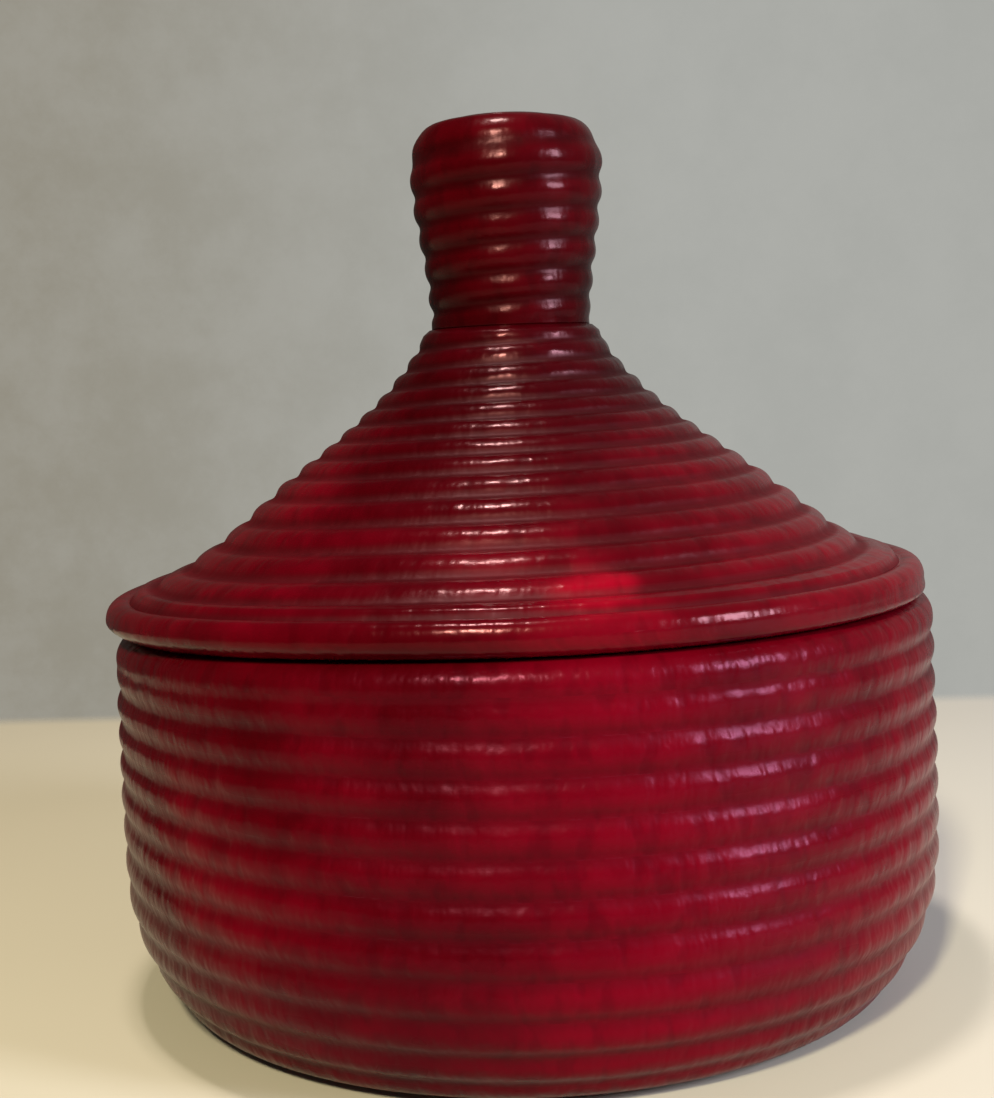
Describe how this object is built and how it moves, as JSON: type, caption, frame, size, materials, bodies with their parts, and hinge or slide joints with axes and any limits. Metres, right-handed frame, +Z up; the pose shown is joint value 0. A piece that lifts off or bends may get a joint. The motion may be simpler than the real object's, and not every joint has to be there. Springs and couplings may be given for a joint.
{
  "type": "lidded coiled basket",
  "caption": "Round drum basket of coiled wicker under moulded red leather, with a lift-off conical lid and a tall ribbed knob.",
  "frame": {"origin": "middle of the underside, on the surface that the basket stands on", "axes": "+Z up along the axis of the drum and the knob, -Y towards the viewer of the picture"},
  "size_m": [0.1798, 0.1788, 0.1898],
  "materials": {
    "red_leather": "polished, moulded over ribs",
    "base_leather": "matt, smooth",
    "wicker": "natural cane, bound",
    "cane_bundle": "raw cut cane"
  },
  "bodies": {
    "basket": {"base_leather": "base_leather", "floor_coil": "wicker", "wall_coil": "wicker", "body_cover": "red_leather"},
    "lid": {"lid_coil": "wicker", "lid_edge_hoop": "wicker", "lid_seat_ring": "wicker", "lid_cover": "red_leather", "knob_core": "cane_bundle", "knob_coil": "wicker", "knob_cover": "red_leather", "knob_cap": "red_leather"}
  },
  "joints": [
    {"name": "lid_lift", "type": "slide", "parent": "basket", "child": "lid", "axis": [0, 0, 1], "range_m": [0, 0.12]}
  ]
}
